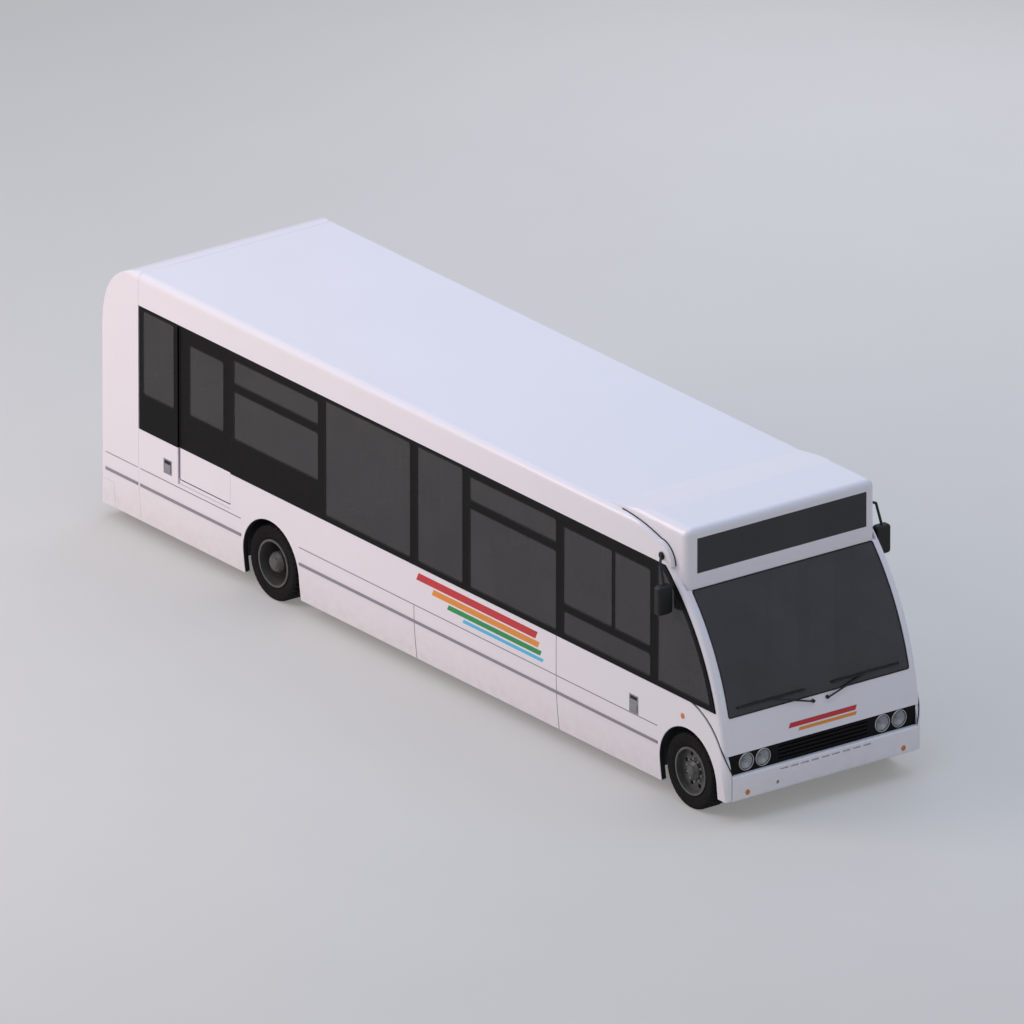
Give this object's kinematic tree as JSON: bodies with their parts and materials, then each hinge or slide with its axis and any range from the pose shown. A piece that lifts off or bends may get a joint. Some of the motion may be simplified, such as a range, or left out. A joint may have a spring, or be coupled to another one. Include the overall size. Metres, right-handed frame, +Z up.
{
  "type": "midibus",
  "caption": "Low-floor midibus with front wheels at the corners, dark window bands, raised front dome, inward gliding entrance door, emergency door and hinged engine cover",
  "frame": {"origin": "on the ground under the middle of the body", "axes": "X forward, Y left, Z up"},
  "size_m": [10.6, 2.92, 2.955],
  "materials": {
    "body_white": "gloss paint",
    "band_black": "dark bonded surround",
    "moulded_black": "grained moulding",
    "tinted_glass": "tinted",
    "dark_glass": "dark tinted",
    "mirror_silver": "polished",
    "clear_lens": "clear lens",
    "amber_lens": "amber lens",
    "red_lens": "red lens",
    "trim_grey": "satin moulding",
    "floor_grey": "anti-slip vinyl",
    "seat_fabric": "woven moquette",
    "pole_yellow": "powder coat",
    "chassis_black": "chassis paint",
    "engine_iron": "as cast",
    "bellows_rubber": "moulded",
    "arm_steel": "brushed",
    "wheel_grey": "satin paint",
    "tyre_black": "moulded rubber"
  },
  "bodies": {
    "chassis": {"chassis_frame": "chassis_black", "floor": "floor_grey", "rear_floor": "floor_grey", "wheel_boxes": "floor_grey", "lower_panels_right": "body_white", "lower_panels_left": "body_white", "window_band_right": "band_black", "window_band_left": "band_black", "roof_shell": "body_white", "front_dome": "body_white", "rear_shell": "body_white", "rear_bumper": "body_white", "front_cell": "body_white", "front_bumper": "body_white", "grille_panel": "band_black", "headlamps": "clear_lens", "indicator_lamps": "amber_lens", "tail_lamps": "red_lens", "windscreen": "tinted_glass", "destination_glass": "dark_glass", "window_glass": "tinted_glass", "wipers": "moulded_black", "mirrors": "moulded_black", "mirror_glass": "mirror_silver", "side_trim": "trim_grey", "dashboard": "moulded_black", "steering_wheel": "moulded_black", "driver_seat": "seat_fabric", "cab_partition": "trim_grey", "seat_frames": "trim_grey", "seat_cushions": "seat_fabric", "grab_poles": "pole_yellow", "engine_block": "engine_iron", "front_axle": "chassis_black", "rear_axle": "chassis_black", "air_springs": "bellows_rubber"},
    "engine_lid": {"engine_cover": "body_white"},
    "exit_door": {"exit_panel": "body_white", "exit_frame": "band_black", "exit_glass": "tinted_glass"},
    "door_arms_rear": {"door_arms_rear": "arm_steel"},
    "door_leaf_rear": {"door_leaf_rear": "band_black", "door_glass_rear": "tinted_glass"},
    "door_arms_front": {"door_arms_front": "arm_steel"},
    "door_leaf_front": {"door_leaf_front": "band_black", "door_glass_front": "tinted_glass"},
    "knuckle_left": {"knuckle_left": "chassis_black"},
    "knuckle_right": {"knuckle_right": "chassis_black"},
    "track_rod": {"track_rod": "chassis_black"},
    "wheel_front_left": {"wheel_front_left": "wheel_grey", "tyre_front_left": "tyre_black"},
    "wheel_front_right": {"wheel_front_right": "wheel_grey", "tyre_front_right": "tyre_black"},
    "wheels_rear_left": {"wheels_rear_left": "wheel_grey", "tyres_rear_left": "tyre_black"},
    "wheels_rear_right": {"wheels_rear_right": "wheel_grey", "tyres_rear_right": "tyre_black"}
  },
  "joints": [
    {"name": "steer_left", "type": "hinge", "parent": "chassis", "child": "knuckle_left", "pos_m": [4.65, 0.985, 0.4], "axis": [0, 0, 1], "range_deg": [-40, 40]},
    {"name": "steer_right", "type": "hinge", "parent": "chassis", "child": "knuckle_right", "pos_m": [4.65, -0.985, 0.4], "axis": [0, 0, 1], "range_deg": [-40, 40]},
    {"name": "track_rod_turn", "type": "hinge", "parent": "knuckle_left", "child": "track_rod", "pos_m": [4.53, 0.985, 0.283], "axis": [0, 0, 1], "range_deg": [-40, 40]},
    {"name": "wheel_front_left_spin", "type": "hinge", "parent": "knuckle_left", "child": "wheel_front_left", "pos_m": [4.65, 1.0925, 0.4], "axis": [0, 1, 0], "continuous": true},
    {"name": "wheel_front_right_spin", "type": "hinge", "parent": "knuckle_right", "child": "wheel_front_right", "pos_m": [4.65, -1.0925, 0.4], "axis": [0, 1, 0], "continuous": true},
    {"name": "wheels_rear_left_spin", "type": "hinge", "parent": "chassis", "child": "wheels_rear_left", "pos_m": [-2.36, 0.95, 0.4], "axis": [0, 1, 0], "continuous": true},
    {"name": "wheels_rear_right_spin", "type": "hinge", "parent": "chassis", "child": "wheels_rear_right", "pos_m": [-2.36, -0.95, 0.4], "axis": [0, 1, 0], "continuous": true},
    {"name": "door_open", "type": "hinge", "parent": "chassis", "child": "door_arms_rear", "pos_m": [2.755, 1.205, 1.365], "axis": [0, 0, -1], "range_deg": [0, 90]},
    {"name": "door_leaf_rear_turn", "type": "hinge", "parent": "door_arms_rear", "child": "door_leaf_rear", "pos_m": [3.045, 1.205, 1.365], "axis": [0, 0, 1], "range_deg": [0, 180]},
    {"name": "door_front_swing", "type": "hinge", "parent": "chassis", "child": "door_arms_front", "pos_m": [3.925, 1.205, 1.365], "axis": [0, 0, 1], "range_deg": [0, 90]},
    {"name": "door_leaf_front_turn", "type": "hinge", "parent": "door_arms_front", "child": "door_leaf_front", "pos_m": [3.635, 1.205, 1.365], "axis": [0, 0, -1], "range_deg": [0, 180]},
    {"name": "emergency_door_open", "type": "hinge", "parent": "chassis", "child": "exit_door", "pos_m": [-3.056, -1.218, 1.64], "axis": [0, 0, 1], "range_deg": [0, 100]},
    {"name": "engine_cover_open", "type": "hinge", "parent": "chassis", "child": "engine_lid", "pos_m": [-5.285, 0, 1.223], "axis": [0, 1, 0], "range_deg": [0, 75]}
  ],
  "couplings": [
    {"joint": "steer_right", "follows": "steer_left", "ratio": 1},
    {"joint": "track_rod_turn", "follows": "steer_left", "ratio": -1},
    {"joint": "door_leaf_rear_turn", "follows": "door_open", "ratio": 2},
    {"joint": "door_front_swing", "follows": "door_open", "ratio": 1},
    {"joint": "door_leaf_front_turn", "follows": "door_open", "ratio": 2}
  ]
}
